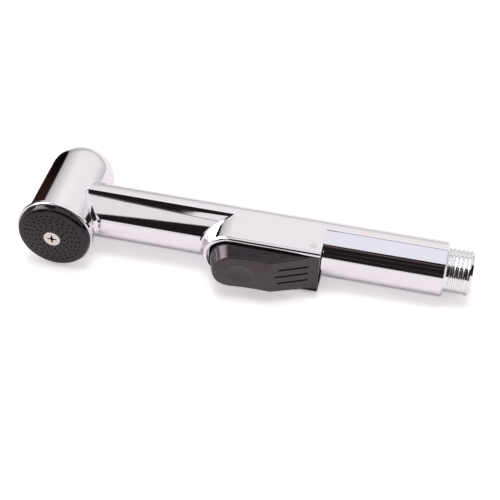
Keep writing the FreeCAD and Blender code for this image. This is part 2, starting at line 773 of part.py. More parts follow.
# Coil spring between the stem's flange and the plug
def make_valve_spring():
    spring_front = -seat_front + disc_thickness + flange_thickness + wire_radius + stem_gap
    spring_back = plug_back - plug_thickness - wire_radius - stem_gap
    body = new_body("valve_spring", stem_x, spring_front)
    wire = draw_outline(new_sketch(body, "XY_Plane"), polygon_corners(WIRE_SIDES, wire_radius, coil_radius))
    coil = body.newObject("PartDesign::AdditiveHelix", "valve_spring_coil")
    coil.Profile = wire
    coil.ReferenceAxis = (wire, ["V_Axis"])
    coil.Mode = "height-turns-angle"
    coil.Turns = COIL_TURNS
    coil.Angle = 0
    bind(coil, "Height", spring_back - spring_front)
    finish_feature(body, coil, True)
    return body


# Plug that closes the spring chamber
def make_spring_plug():
    body = new_body("spring_plug", stem_x, plug_back)
    outer = chamber_half - socket_gap
    revolve(body, box_corners(ZERO, outer, -plug_thickness, ZERO), "V_Axis")
    middle = -plug_thickness / 2
    floor = outer + socket_gap - 2 * (seal_radius + seal_squeeze)
    low, high = middle - groove_half, middle + groove_half
    revolve(body, box_corners(floor - seal_squeeze, outer + cut_past, low, high), "V_Axis", grows=False)
    return body


# Hose nipple: plain outside where the G1/2 thread runs, with a spigot in the handle bore
def make_inlet_nipple():
    body = new_body("inlet_nipple")
    socket_radius = collar_radius + socket_gap
    section = [
        (-spigot_length, tube_bore),
        (nipple_length, tube_bore),
        (nipple_length, thread_radius - nipple_bevel),
        (nipple_length - nipple_bevel, thread_radius),
        (0, thread_radius),
        (0, inner_radius),
        (-spigot_length, inner_radius),
    ]
    revolve(body, section, "H_Axis")
    socket_end = socket_depth - spigot_length
    socket = box_corners(-spigot_length - cut_past, socket_end, ZERO, socket_radius)
    revolve(body, socket, "H_Axis", grows=False)
    mouth = box_corners(nipple_length - mouth_depth, nipple_length + cut_past, ZERO, nipple_mouth)
    revolve(body, mouth, "H_Axis", grows=False)
    floor = nipple_seal_centre - seal_radius - seal_squeeze
    low, high = -spigot_length / 2 - groove_half, -spigot_length / 2 + groove_half
    revolve(body, box_corners(low, high, floor, inner_radius + cut_past), "H_Axis", grows=False)
    return body


# Trigger lever
def make_trigger_lever():
    body = new_body("trigger_lever", head_x)
    top = lever_front + cut_past
    base_plan = stadium_corners(round_station, lever_half, lever_end)
    top_plan = stadium_corners(round_station + nose_shift, lever_half - lever_draft, lever_end)
    base_sketch = draw_outline(new_sketch(body, "XZ_Plane", lever_base), base_plan)
    top_sketch = draw_outline(new_sketch(body, "XZ_Plane", top), top_plan)
    loft(body, [base_sketch, top_sketch])
    above = top + crown_drop + cut_past
    trim_finger_face(body, above)
    trim_tail(body, above)
    hollow_lever(body)
    add_lever_ears(body)
    add_lever_post(body)
    cut_lever_grip(body)
    return body


def trim_finger_face(body, above):
    """Turn away what lies in front of the crowned finger face, from its round nose to past the ridge."""
    crown_axis = crown_radius - lever_front
    left = round_station - handle_radius
    right = ridge_station + ridge_bow
    nose = -lever_front - crown_axis
    ridge = -housing_front - ridge_rise - crown_axis
    profile = [
        (left, -above - crown_axis),
        (right, -above - crown_axis),
        (right, ridge, -dip_round),
        (nose_station, nose, nose_round),
        (nose_station - nose_length, nose + nose_drop),
        (left, nose + nose_drop),
    ]
    sketch = draw_outline(new_sketch(body, "XY_Plane", ZERO, crown_axis), profile)
    turn_away(body, sketch, CROWN_SWEEP)


def trim_tail(body, above):
    """Cut the sloping tail face and the flat behind it, then round the lever's outer edges."""
    tail = -housing_front - tail_rise
    rise_left = above - housing_front - ridge_rise
    profile = [
        (ridge_station - rise_left / tail_slope, -above),
        (lever_end + cut_past, -above),
        (lever_end + cut_past, tail),
        (flat_station, tail),
    ]
    sketch = draw_outline(new_sketch(body, "XY_Plane"), profile)
    trimmed = pocket(body, sketch, 2 * handle_radius, midplane=True)

    def is_outer_edge(middle, edge):
        below = middle.y > -housing_front.value - 2 * tail_rise.value
        upright = edge.BoundBox.YLength > edge.BoundBox.XLength + edge.BoundBox.ZLength
        return not below and not upright

    round_edges(body, trimmed, lever_round, is_outer_edge)


def hollow_lever(body):
    """Hollow the lever from below, a wall inside its profile."""
    low = -lever_base + cut_past
    left = nose_station + lever_wall / 2
    roof = -housing_front - dip_rise + crown_drop + lever_wall
    right = pin_station - ear_radius - lever_wall
    right_roof = -housing_front - ridge_rise + (right - ridge_station) * tail_slope + 2 * lever_wall
    inside = [
        (left, low),
        (left, roof),
        (ridge_station, roof),
        (right, right_roof),
        (right, low),
    ]
    width = 2 * (lever_half - lever_draft - lever_wall)
    pocket(body, draw_outline(new_sketch(body, "XY_Plane"), inside), width, midplane=True)


def add_lever_ears(body):
    """Two ears that hang from the lever's tail round the pivot pin."""
    for side in (1, -1):
        offset = lever_half - ear_width if side > 0 else -lever_half
        ear = [
            (pin_station - ear_radius, -housing_front + stem_gap),
            (pin_station - ear_radius, -pin_front, ear_radius),
            (pin_station, -pin_front + ear_radius, ear_radius),
            (pin_station + ear_radius, -pin_front),
            (pin_station + ear_radius, -housing_front + stem_gap),
        ]
        pad(body, draw_outline(new_sketch(body, "XY_Plane", offset), ear), ear_width)
    pin_hole = draw_circle(new_sketch(body, "XY_Plane"), pin_station, -pin_front, pin_radius + stem_gap)
    pocket(body, pin_hole, 2 * handle_radius, midplane=True)


def add_lever_post(body):
    """The post that reaches down to the valve stem's tip."""
    post_end = stem_tip + move_gap
    sketch = draw_circle(new_sketch(body, "XZ_Plane", post_end), stem_station, 0, post_radius)
    pad(body, sketch, housing_front + dip_rise - lever_wall / 2 - post_end)


def cut_lever_grip(body):
    """The finger dimple, turned with a barrel, and the three grooves on the sloping tail."""
    barrel_axis = -housing_front - dip_rise + dimple_depth - dimple_roll
    barrel_end = dimple_roll - dimple_drop
    barrel_round = (dimple_reach * dimple_reach + dimple_drop * dimple_drop) / (2 * dimple_drop)
    profile = [
        (dimple_station - dimple_reach, 0),
        (dimple_station + dimple_reach, 0),
        (dimple_station + dimple_reach, barrel_end, -barrel_round),
        (dimple_station - dimple_reach, barrel_end),
    ]
    sketch = draw_outline(new_sketch(body, "XY_Plane", ZERO, barrel_axis), profile)
    turn_away(body, sketch, 360)
    stop = flat_station - groove_stop
    stop_y = -housing_front - ridge_rise + (stop - ridge_station) * tail_slope
    for number in (-1, 0, 1):
        start = ridge_station + groove_start + abs(number) * groove_lag
        start_y = -housing_front - ridge_rise + (start - ridge_station) * tail_slope
        strip = [
            (start, start_y + groove_depth),
            (start, start_y - cut_past),
            (stop, stop_y - cut_past),
            (stop, stop_y + groove_depth),
        ]
        offset = number * groove_pitch - groove_width / 2
        pocket(body, draw_outline(new_sketch(body, "XY_Plane", offset), strip), groove_width, backwards=True)


# Pivot pin through both walls of the housing
def make_pivot_pin():
    body = new_body("pivot_pin", head_x + pin_station, -pin_front)
    pin = draw_circle(new_sketch(body, "XY_Plane"), 0, 0, pin_radius - seal_squeeze)
    pad(body, pin, 2 * handle_radius, midplane=True)
    return body


def make_all():
    """Every sub-part of the sprayer."""
    web_middle = water_tube_start + collar_length / 2
    stem_seal_centre = stem_radius + seal_squeeze + seal_radius
    plug_seal_centre = chamber_half - seal_squeeze - seal_radius
    return [
        make_shell(),
        make_face_ring(),
        make_spray_plate(),
        make_plate_screw(),
        make_plate_gasket(),
        make_nozzle_carrier(),
        make_screw_insert(),
        make_tube("water_tube", water_tube_start, water_tube_length),
        make_ring_seal("water_tube_front_seal", web_middle, ZERO, "H_Axis", seal_centre),
        make_ring_seal(
            "water_tube_rear_seal",
            water_tube_start + water_tube_length - collar_length / 2,
            ZERO,
            "H_Axis",
            seal_centre,
        ),
        make_valve_body(),
        make_gland_nut(),
        make_ring_seal("stem_seal", stem_x, -well_floor + gland_depth / 2, "V_Axis", stem_seal_centre),
        make_valve_stem(),
        make_valve_disc(),
        make_valve_spring(),
        make_spring_plug(),
        make_ring_seal("plug_seal", stem_x, plug_back - plug_thickness / 2, "V_Axis", plug_seal_centre),
        make_tube("feed_tube", feed_tube_start, feed_tube_length),
        make_ring_seal(
            "feed_tube_front_seal", feed_tube_start + collar_length / 2, ZERO, "H_Axis", seal_centre
        ),
        make_ring_seal(
            "feed_tube_rear_seal",
            feed_tube_start + feed_tube_length - collar_length / 2,
            ZERO,
            "H_Axis",
            seal_centre,
        ),
        make_inlet_nipple(),
        make_ring_seal("nipple_seal", -spigot_length / 2, ZERO, "H_Axis", nipple_seal_centre),
        make_trigger_lever(),
        make_pivot_pin(),
    ]


doc.recompute()
PIECES = make_all()


def check_document():
    """Stop if any object failed."""
    doc.recompute()
    for thing in doc.Objects:
        if "Invalid" in thing.State or "Error" in thing.State:
            raise RuntimeError(f"{thing.Name} failed: {thing.State}")


def write_pieces():
    """Write each sub-part to its own STEP file."""
    os.makedirs("parts", exist_ok=True)
    for piece in PIECES:
        shape = piece.Shape
        if shape.isNull() or not shape.isValid():
            raise RuntimeError(f"{piece.Label} has no valid solid")
        shape.exportStep(f"parts/{piece.Label}.step")
        print(piece.Label, len(shape.Solids), round(shape.Volume, 1), shape.BoundBox)


check_document()
write_pieces()
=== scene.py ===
import json
import math
import bpy
import numpy as np
from mathutils import Matrix, Vector
from mathutils.geometry import delaunay_2d_cdt


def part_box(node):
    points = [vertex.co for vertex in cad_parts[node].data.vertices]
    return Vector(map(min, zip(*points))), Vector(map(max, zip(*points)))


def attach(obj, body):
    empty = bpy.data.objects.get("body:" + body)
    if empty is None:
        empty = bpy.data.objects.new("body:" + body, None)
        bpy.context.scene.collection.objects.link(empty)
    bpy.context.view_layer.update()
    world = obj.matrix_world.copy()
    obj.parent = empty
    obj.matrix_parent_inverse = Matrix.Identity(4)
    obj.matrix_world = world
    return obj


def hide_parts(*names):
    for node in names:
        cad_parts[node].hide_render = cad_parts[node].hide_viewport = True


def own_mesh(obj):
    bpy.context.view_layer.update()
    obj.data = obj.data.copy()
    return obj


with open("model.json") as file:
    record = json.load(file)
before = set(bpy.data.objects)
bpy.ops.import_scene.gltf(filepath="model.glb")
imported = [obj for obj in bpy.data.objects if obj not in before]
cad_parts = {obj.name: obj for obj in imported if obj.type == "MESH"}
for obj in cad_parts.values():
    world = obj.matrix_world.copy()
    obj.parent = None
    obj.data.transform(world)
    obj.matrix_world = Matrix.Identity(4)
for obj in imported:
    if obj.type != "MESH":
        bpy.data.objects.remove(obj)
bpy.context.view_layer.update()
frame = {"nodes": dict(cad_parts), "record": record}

MM = 0.001
NODES = frame["nodes"]

# Driving sizes, in millimetres, read from the frame
shell_low, shell_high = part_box("shell")
HEAD_X = (shell_low.x + shell_high.z) / MM
BARREL_RADIUS = shell_high.z / MM
MOUTH_FACE = shell_low.y / MM
HANDLE_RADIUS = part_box("pivot_pin")[1].z / MM
NIPPLE_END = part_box("inlet_nipple")[1].x / MM
NIPPLE_SPIGOT = -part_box("inlet_nipple")[0].x / MM
THREAD_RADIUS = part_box("inlet_nipple")[1].z / MM
PLATE_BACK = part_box("spray_plate")[1].y / MM
PLATE_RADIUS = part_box("spray_plate")[1].z / MM
RING_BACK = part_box("face_ring")[1].y / MM
RING_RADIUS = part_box("face_ring")[1].z / MM
SCREW_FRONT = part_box("plate_screw")[0].y / MM
SCREW_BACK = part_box("plate_screw")[1].y / MM
SCREW_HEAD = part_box("plate_screw")[1].z / MM

# Crowned front of the spray plate: its edge, how far its middle stands out, and the ball it is part of
FACE_EDGE = -22.3
FACE_RADIUS = 15.75
FACE_CROWN = 1.2
CROWN_BALL = (FACE_RADIUS**2 + FACE_CROWN**2) / (2 * FACE_CROWN)


# Camera at the photograph's viewing angle
CAMERA_PLACE = (-0.01836, -0.36096, 0.34129)
CAMERA_RIGHT = Vector((0.97656, 0.21269, 0.03299))
CAMERA_DOWN = Vector((0.17026, -0.66964, -0.72290))
FOCAL_PIXELS = 1150.0
PHOTO_PIXELS = 500.0
SENSOR = 36.0


def make_camera():
    """The camera of the photograph: a long lens above the handle, a little to the hose side."""
    data = bpy.data.cameras.new("camera")
    data.sensor_width = SENSOR
    data.lens = SENSOR * FOCAL_PIXELS / PHOTO_PIXELS
    data.clip_start = 0.01
    data.clip_end = 20.0
    camera = bpy.data.objects.new("camera", data)
    bpy.context.scene.collection.objects.link(camera)
    right = CAMERA_RIGHT.normalized()
    up = -(CAMERA_DOWN - right * CAMERA_DOWN.dot(right)).normalized()
    back = right.cross(up)
    turn = Matrix((right, up, back)).transposed()
    camera.matrix_world = Matrix.Translation(CAMERA_PLACE) @ turn.to_4x4()
    bpy.context.scene.camera = camera


# Node helpers
class Tree:
    """Short ways to add and link nodes in one node tree."""

    def __init__(self, tree):
        self.tree = tree
        tree.nodes.clear()

    def add(self, kind, **settings):
        node = self.tree.nodes.new(kind)
        for name, value in settings.items():
            setattr(node, name, value)
        return node

    def link(self, source, target):
        self.tree.links.new(source, target)

    def feed(self, target, value):
        """Link a socket, or set a plain number or colour."""
        if isinstance(value, bpy.types.NodeSocket):
            self.link(value, target)
        else:
            target.default_value = value

    def math(self, operation, *values):
        node = self.add("ShaderNodeMath", operation=operation)
        for socket, value in zip(node.inputs, values):
            self.feed(socket, value)
        return node.outputs[0]

    def mix(self, factor, first, second):
        node = self.add("ShaderNodeMix", data_type="RGBA")
        self.feed(node.inputs["Factor"], factor)
        self.feed(node.inputs["A"], first)
        self.feed(node.inputs["B"], second)
        return node.outputs["Result"]

    def ramp(self, source, low, high, from_value=0.0, to_value=1.0, smooth=True):
        """A value that goes from one number to another while the source goes from low to high."""
        node = self.add("ShaderNodeMapRange")
        node.interpolation_type = "SMOOTHSTEP" if smooth else "LINEAR"
        self.feed(node.inputs["Value"], source)
        self.feed(node.inputs["From Min"], low)
        self.feed(node.inputs["From Max"], high)
        self.feed(node.inputs["To Min"], from_value)
        self.feed(node.inputs["To Max"], to_value)
        return node.outputs["Result"]

    def place(self):
        """The object's own coordinates, in metres."""
        return self.add("ShaderNodeTexCoord").outputs["Object"]

    def split(self, vector):
        """The three parts of a vector."""
        node = self.add("ShaderNodeSeparateXYZ")
        self.link(vector, node.inputs[0])
        return node.outputs["X"], node.outputs["Y"], node.outputs["Z"]

    def dot(self, vector, way):
        """How far a vector goes along a fixed way."""
        node = self.add("ShaderNodeVectorMath", operation="DOT_PRODUCT")
        self.link(vector, node.inputs[0])
        node.inputs[1].default_value = Vector(way).normalized()
        return node.outputs["Value"]

    def noise(self, scale, detail=2.0, roughness=0.5, stretch=(1, 1, 1), vector=None):
        """Noise on the object's own coordinates or another vector; scale is in features per unit."""
        mapping = self.add("ShaderNodeMapping")
        mapping.inputs["Scale"].default_value = stretch
        self.link(vector or self.place(), mapping.inputs["Vector"])
        node = self.add("ShaderNodeTexNoise")
        node.inputs["Scale"].default_value = scale
        node.inputs["Detail"].default_value = detail
        node.inputs["Roughness"].default_value = roughness
        self.link(mapping.outputs[0], node.inputs["Vector"])
        return node.outputs["Fac"]

    def bump(self, height, distance):
        node = self.add("ShaderNodeBump")
        node.inputs["Distance"].default_value = distance
        self.link(height, node.inputs["Height"])
        return node.outputs["Normal"]


def rgb(colour, share=1.0):
    """A socket's colour from three numbers, lighter or darker by a share."""
    return tuple(part * share for part in colour) + (1.0,)


def grey(level):
    return rgb((level, level, level))


def new_material(name):
    """A material with a Principled shader; gives the material, its tree and the shader's inputs."""
    material = bpy.data.materials.new(name)
    material.use_nodes = True
    tree = Tree(material.node_tree)
    shader = tree.add("ShaderNodeBsdfPrincipled")
    output = tree.add("ShaderNodeOutputMaterial")
    tree.link(shader.outputs[0], output.inputs["Surface"])
    return material, tree, shader.inputs


# Materials: depths of bumps are in metres, scales of noise in features per metre
CHROME = (0.90, 0.85, 0.89)
CHROME_ON_BRASS = (0.88, 0.87, 0.88)
CHROME_ROUGHNESS = 0.035
STAINLESS = (0.82, 0.73, 0.70)
PIN_STEEL = (0.80, 0.79, 0.78)
SPRING_STEEL = (0.62, 0.62, 0.63)
BRASS = (0.80, 0.60, 0.30)
PLATE_BLACK = (0.006, 0.004, 0.005)
LEVER_BLACK = (0.012, 0.008, 0.011)
BLACK_GLOSS_TINT = (1.0, 0.84, 0.92)
DUST = (0.35, 0.34, 0.34)
# Painted shade: the dark colour laid into the screw's cross recess
RECESS_SHADE = (0.10, 0.085, 0.08)
RUBBER = (0.012, 0.012, 0.013)
RUBBER_BLOOM = (0.03, 0.03, 0.031)
INNER_DARK = (0.7, 0.7, 0.68)
INNER_PALE = (0.8, 0.8, 0.78)

# Stretches of a noise's value over which a material changes
CLOUD = (0.3, 0.7)
SCRATCHES = (0.62, 0.78)
SPECKS = (0.72, 0.8)

# Stretches along Y, in metres, over which the plate's shoulder turns glossy and the screw's recess darkens
# with painted shade
SHOULDER = ((FACE_EDGE - 0.3) * MM, (FACE_EDGE - 0.05) * MM)
SHOULDER_ROUGHNESS = 0.35
RECESS = ((SCREW_FRONT + 0.05) * MM, (SCREW_FRONT + 0.35) * MM)


def make_chrome(name, colour, ripple, scratch):
    """Mirror plating: a faint ripple of the plated surface, and hairline scratches."""
    material, tree, inputs = new_material(name)
    inputs["Metallic"].default_value = 1.0
    cloud = tree.noise(scale=90.0, detail=3.0)
    tree.link(tree.mix(cloud, rgb(colour, share=0.975), rgb(colour)), inputs["Base Color"])
    hair = tree.noise(scale=2600.0, roughness=0.6, stretch=(0.12, 1, 1))
    worn = tree.ramp(hair, *SCRATCHES)
    tree.link(tree.math("MULTIPLY_ADD", worn, scratch, CHROME_ROUGHNESS), inputs["Roughness"])
    wave = tree.noise(scale=120.0, detail=1.0)
    tree.link(tree.bump(wave, ripple), inputs["Normal"])
    return material


def make_black_plastic(name, colour, ior, gloss, grain, depth, dust, polished=None):
    """Moulded black plastic with fine grain, cloudy gloss and pale dust, glossier past a stretch of Y."""
    material, tree, inputs = new_material(name)
    cloud = tree.noise(scale=140.0, detail=4.0, roughness=0.6)
    speck = tree.ramp(tree.noise(scale=2400.0, detail=1.0), *SPECKS, to_value=dust)
    tone = tree.mix(cloud, rgb(colour, share=0.86), rgb(colour, share=1.12))
    tree.link(tree.mix(speck, tone, rgb(DUST)), inputs["Base Color"])
    rough = tree.ramp(cloud, *CLOUD, from_value=gloss - 0.03, to_value=gloss + 0.05)
    if polished:
        along = tree.split(tree.place())[1]
        polish = tree.ramp(along, *polished, from_value=1.0, to_value=SHOULDER_ROUGHNESS)
        rough = tree.math("MULTIPLY", rough, polish)
    tree.link(rough, inputs["Roughness"])
    inputs["IOR"].default_value = ior
    inputs["Specular Tint"].default_value = rgb(BLACK_GLOSS_TINT)
    tree.link(tree.bump(tree.noise(scale=grain, roughness=0.55), depth), inputs["Normal"])
    return material


def make_steel(name, colour, gloss, stretch=(1, 1, 1), recess=None):
    """Bright metal with fine machining lines, darkened with painted shade past a stretch of Y when one is
    given (the screw's recess).
    """
    material, tree, inputs = new_material(name)
    inputs["Metallic"].default_value = 1.0
    lines = tree.noise(scale=1800.0, detail=3.0, roughness=0.6, stretch=stretch)
    tone = tree.mix(lines, rgb(colour, share=0.9), rgb(colour))
    if recess:
        along = tree.split(tree.place())[1]
        # painted shade: past the stretch of Y the colour turns dark, standing in for the shade inside the
        # recess
        tone = tree.mix(tree.ramp(along, *recess), tone, rgb(RECESS_SHADE))
    tree.link(tone, inputs["Base Color"])
    rough = tree.ramp(lines, *CLOUD, from_value=gloss - 0.05, to_value=gloss + 0.08)
    tree.link(rough, inputs["Roughness"])
    tree.link(tree.bump(lines, distance=0.00001), inputs["Normal"])
    return material


def make_rubber(name):
    """Black nitrile rubber with a soft bloom."""
    material, tree, inputs = new_material(name)
    bloom = tree.noise(scale=500.0, detail=4.0)
    tree.link(tree.mix(bloom, rgb(RUBBER), rgb(RUBBER_BLOOM)), inputs["Base Color"])
    tree.link(tree.ramp(bloom, *CLOUD, from_value=0.5, to_value=0.68), inputs["Roughness"])
    tree.link(tree.bump(tree.noise(scale=3000.0), distance=0.00002), inputs["Normal"])
    return material


def make_inner_plastic(name):
    """Plain moulded inner plastic, slightly uneven in tone."""
    material, tree, inputs = new_material(name)
    cloud = tree.noise(scale=300.0, detail=3.0)
    tree.link(tree.mix(cloud, rgb(INNER_DARK), rgb(INNER_PALE)), inputs["Base Color"])
    tree.link(tree.ramp(cloud, *CLOUD, from_value=0.35, to_value=0.5), inputs["Roughness"])
    tree.link(tree.bump(tree.noise(scale=2500.0), distance=0.00001), inputs["Normal"])
    return material


MATERIALS = {
    "chrome_plastic": make_chrome("chrome_plastic", CHROME, ripple=0.000008, scratch=0.05),
    "chrome_ring": make_chrome("chrome_ring", CHROME, ripple=0.000004, scratch=0.03),
    "chrome_brass": make_chrome("chrome_brass", CHROME_ON_BRASS, ripple=0.000004, scratch=0.08),
    "black_plate": make_black_plastic(
        "black_plate",
        PLATE_BLACK,
        ior=1.50,
        gloss=0.24,
        grain=5200.0,
        depth=0.000003,
        dust=0.3,
        polished=SHOULDER,
    ),
    "black_lever": make_black_plastic(
        "black_lever",
        LEVER_BLACK,
        ior=1.70,
        gloss=0.21,
        grain=4200.0,
        depth=0.000002,
        dust=0.2,
    ),
    "stainless": make_steel("stainless", STAINLESS, gloss=0.26),
    "steel_pin": make_steel("steel_pin", PIN_STEEL, gloss=0.22),
    "spring_steel": make_steel("spring_steel", SPRING_STEEL, gloss=0.30, stretch=(1, 1, 0.2)),
    "brass": make_steel("brass", BRASS, gloss=0.28),
    "rubber": make_rubber("rubber"),
    "inner_plastic": make_inner_plastic("inner_plastic"),
}


def dress_nodes():
    """Give every CAD node the material of its slot."""
    for part in frame["record"]["subparts"]:
        mesh = NODES[part["node"]].data
        mesh.materials.clear()
        mesh.materials.append(MATERIALS[part["material_slot"]])


# Mesh helpers
def place_piece(name, mesh, slot, body, node=None, material=None):
    """An object that rides on a body and may stand for a CAD node."""
    piece = bpy.data.objects.new(name, mesh)
    bpy.context.scene.collection.objects.link(piece)
    mesh.materials.append(material or MATERIALS[slot])
    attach(piece, body)
    if node:
        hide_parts(node)
    return piece


def smooth_mesh(name, points, faces):
    """A smooth mesh from points in millimetres."""
    mesh = bpy.data.meshes.new(name)
    mesh.from_pydata([tuple(value * MM for value in point) for point in points], [], faces)
    mesh.shade_smooth()
    return mesh


class Surface:
    """A closed mesh in millimetres whose patches share points and keep their exact normals."""

    def __init__(self):
        self.points = []
        self.faces = []
        self.leans = []

    def loop(self, points):
        """Add points and give their numbers."""
        first = len(self.points)
        self.points.extend(tuple(float(value) for value in point) for point in points)
        return list(range(first, len(self.points)))

    def face(self, corners, normals):
        """Add a face that looks the way its normals do."""
        first, second, last = (Vector(self.points[corners[place]]) for place in (0, 1, -1))
        if (second - first).cross(last - first).dot(Vector(normals[0])) < 0:
            corners, normals = corners[::-1], normals[::-1]
        self.faces.append(tuple(corners))
        self.leans.extend(tuple(normal) for normal in normals)

    def flat(self, corners, normal):
        self.face(corners, [normal] * len(corners))

    def band(self, first, second, first_normals, second_normals, closed=True):
        """Quads between two rows of the same count, each a closed loop or an open line."""
        count = len(first)
        for step in range(count if closed else count - 1):
            after = (step + 1) % count
            corners = [first[step], first[after], second[after], second[step]]
            normals = [first_normals[step], first_normals[after]]
            normals += [second_normals[after], second_normals[step]]
            self.face(corners, normals)

    def piece(self, name, slot, body, node=None, material=None):
        mesh = smooth_mesh(name, self.points, self.faces)
        mesh.normals_split_custom_set(self.leans)
        return place_piece(name, mesh, slot, body, node, material)


def rounded(corners, closed=True, steps=6):
    """Points and outward normals of a section from its corners, each with the radius of its round.

    The solid lies to the section's left. The ends of an open section keep their place.
    """
    places, leans = [], []
    count = len(corners)
    for index, (across, along, blend) in enumerate(corners):
        here = np.array((across, along))
        before = here - np.array(corners[index - 1][:2])
        after = np.array(corners[(index + 1) % count][:2]) - here
        if not closed and index in (0, count - 1):
            way = after if index == 0 else before
            way = way / np.linalg.norm(way)
            places.append(here)
            leans.append(np.array((way[1], -way[0])))
            continue
        before = before / np.linalg.norm(before)
        after = after / np.linalg.norm(after)
        start = math.atan2(before[1], before[0])
        turn = math.atan2(before[0] * after[1] - before[1] * after[0], float(before @ after))
        side = math.copysign(1.0, turn)
        first = here - before * blend * math.tan(abs(turn) / 2)
        centre = first + side * blend * np.array((-before[1], before[0]))
        for angle in start + turn * np.linspace(0.0, 1.0, steps + 1):
            lean = np.array((math.sin(angle), -math.cos(angle)))
            places.append(centre + side * blend * lean)
            leans.append(lean)
    return places, leans


def circle(steps):
    """Angles that divide a whole turn."""
    return np.linspace(0.0, 2 * math.pi, steps, endpoint=False)


# Spray head: chrome ring, perforated plate and its screw, turned round the head's axis
AROUND = 180


def turn_section(surface, places, leans, closed=False, turns=circle(AROUND)):
    """Turn a section round the head's axis; gives its loops."""
    loops, normals = [], []
    ways = [(math.cos(turn), math.sin(turn)) for turn in turns]
    for (radius, along), (out, ahead) in zip(places, leans):
        loops.append(surface.loop((HEAD_X + radius * x, along, radius * z) for x, z in ways))
        normals.append([(out * x, ahead, out * z) for x, z in ways])
    last = len(loops) if closed else len(loops) - 1
    for index in range(last):
        after = (index + 1) % len(loops)
        surface.band(loops[index], loops[after], normals[index], normals[after])
    return loops


RING_OPENING = 11.2
RING_SPIGOT = 12.85
GASKET_OUTER = 15.05
GASKET_GROOVE = 1.0
RING_LIP = 0.8
LIP_THICKNESS = 0.6
RING_WALL = 2.2
RING_FRONT_ROUND = 0.75
RING_BACK_ROUND = 0.8
EDGE = 0.1
SEAT_STEP = 0.02


def make_ring():
    """The chrome ring: a bulged wall that stands proud of the head, with a lip round the plate."""
    front = PLATE_BACK - RING_LIP
    inside_lip = RING_RADIUS - LIP_THICKNESS
    section = [
        (RING_OPENING, RING_BACK, 2 * EDGE),
        (RING_OPENING, PLATE_BACK + GASKET_GROOVE, EDGE),
        (GASKET_OUTER, PLATE_BACK + GASKET_GROOVE, EDGE),
        (GASKET_OUTER, PLATE_BACK, EDGE),
        (inside_lip, PLATE_BACK, 0.5 * EDGE),
        (inside_lip, front, 1.5 * EDGE),
        (RING_RADIUS, front, RING_FRONT_ROUND),
        (RING_RADIUS, front + RING_WALL, RING_BACK_ROUND),
        (BARREL_RADIUS + SEAT_STEP, MOUTH_FACE, EDGE),
        (RING_SPIGOT, MOUTH_FACE, EDGE),
        (RING_SPIGOT, RING_BACK, 2 * EDGE),
    ]
    surface = Surface()
    turn_section(surface, *rounded(section), closed=True)
    surface.piece("ring", "chrome_ring", "handle", "face_ring")


PLATE_RECESS = 13.4
PLATE_INSIDE = -20.3
PLATE_ROUND = 1.7
CROWN_END = FACE_RADIUS - 1.2 * PLATE_ROUND
SINK_RADIUS = 3.9
SINK_DEPTH = 2.1
SHANK_RADIUS = 2.0
SHANK_GAP = 0.15
HOLES_IN_RING = (13, 16, 20, 24, 30)
RING_TURNS = (3.0, 15.0, 0.0, 0.0, 0.0)
FIRST_RING = 5.65
RING_PITCH = 1.65
HOLE_MOUTH = 0.45
HOLE_RADIUS = 0.37
MOUTH_ROUND = 0.12
HOLE_SIDES = 12
WELD = 1e-7


def crown_height(radius):
    """Place of the plate's crowned front along Y, at a distance from its axis."""
    return FACE_EDGE - FACE_CROWN + CROWN_BALL - math.sqrt(CROWN_BALL**2 - radius**2)


def crown_normal(point):
    """Outward normal of the plate's crowned front at a point of it."""
    across, up = (point[0] - HEAD_X) / CROWN_BALL, point[2] / CROWN_BALL
    return (across, -math.sqrt(1 - across**2 - up**2), up)


def fill(surface, loops, normal_of):
    """Triangles between an outer loop, the first, and the holes inside it."""
    numbers = [number for loop in loops for number in loop]
    owner = {number: index for index, loop in enumerate(loops) for number in loop}
    flat = [Vector((surface.points[number][0], surface.points[number][2])) for number in numbers]
    edges, start = [], 0
    for loop in loops:
        count = len(loop)
        edges += [(start + step, start + (step + 1) % count) for step in range(count)]
        start += count
    found = delaunay_2d_cdt(flat, edges, [], 0, WELD)
    source = [numbers[names[0]] for names in found[3]]
    for face in found[2]:
        corners = [source[corner] for corner in face]
        owners = {owner[corner] for corner in corners}
        if len(owners) == 1 and owners != {0}:
            continue
        surface.face(corners, [normal_of(surface.points[corner]) for corner in corners])


def hole_places():
    """Middles of the plate's holes, ring by ring."""
    for number, (count, turn) in enumerate(zip(HOLES_IN_RING, RING_TURNS)):
        radius = FIRST_RING + number * RING_PITCH
        for angle in math.radians(turn) + circle(count):
            yield HEAD_X + radius * math.cos(angle), radius * math.sin(angle)


def make_hole(surface, x, z):
    """A countersunk hole through the plate; gives its front and back loops."""
    face = crown_height(math.hypot(x - HEAD_X, z))
    inward = [(-math.cos(turn), 0.0, -math.sin(turn)) for turn in circle(HOLE_SIDES)]
    mouth = []
    for out, _, up in inward:
        across, high = x - HOLE_MOUTH * out, z - HOLE_MOUTH * up
        mouth.append((across, crown_height(math.hypot(across - HEAD_X, high)), high))
    rows = [surface.loop(mouth)]
    for depth in (face + MOUTH_ROUND, PLATE_INSIDE):
        ring = [(x - HOLE_RADIUS * out, depth, z - HOLE_RADIUS * up) for out, _, up in inward]
        rows.append(surface.loop(ring))
    surface.band(rows[0], rows[1], [crown_normal(point) for point in mouth], inward)
    surface.band(rows[1], rows[2], inward, inward)
    return rows[0], rows[2]


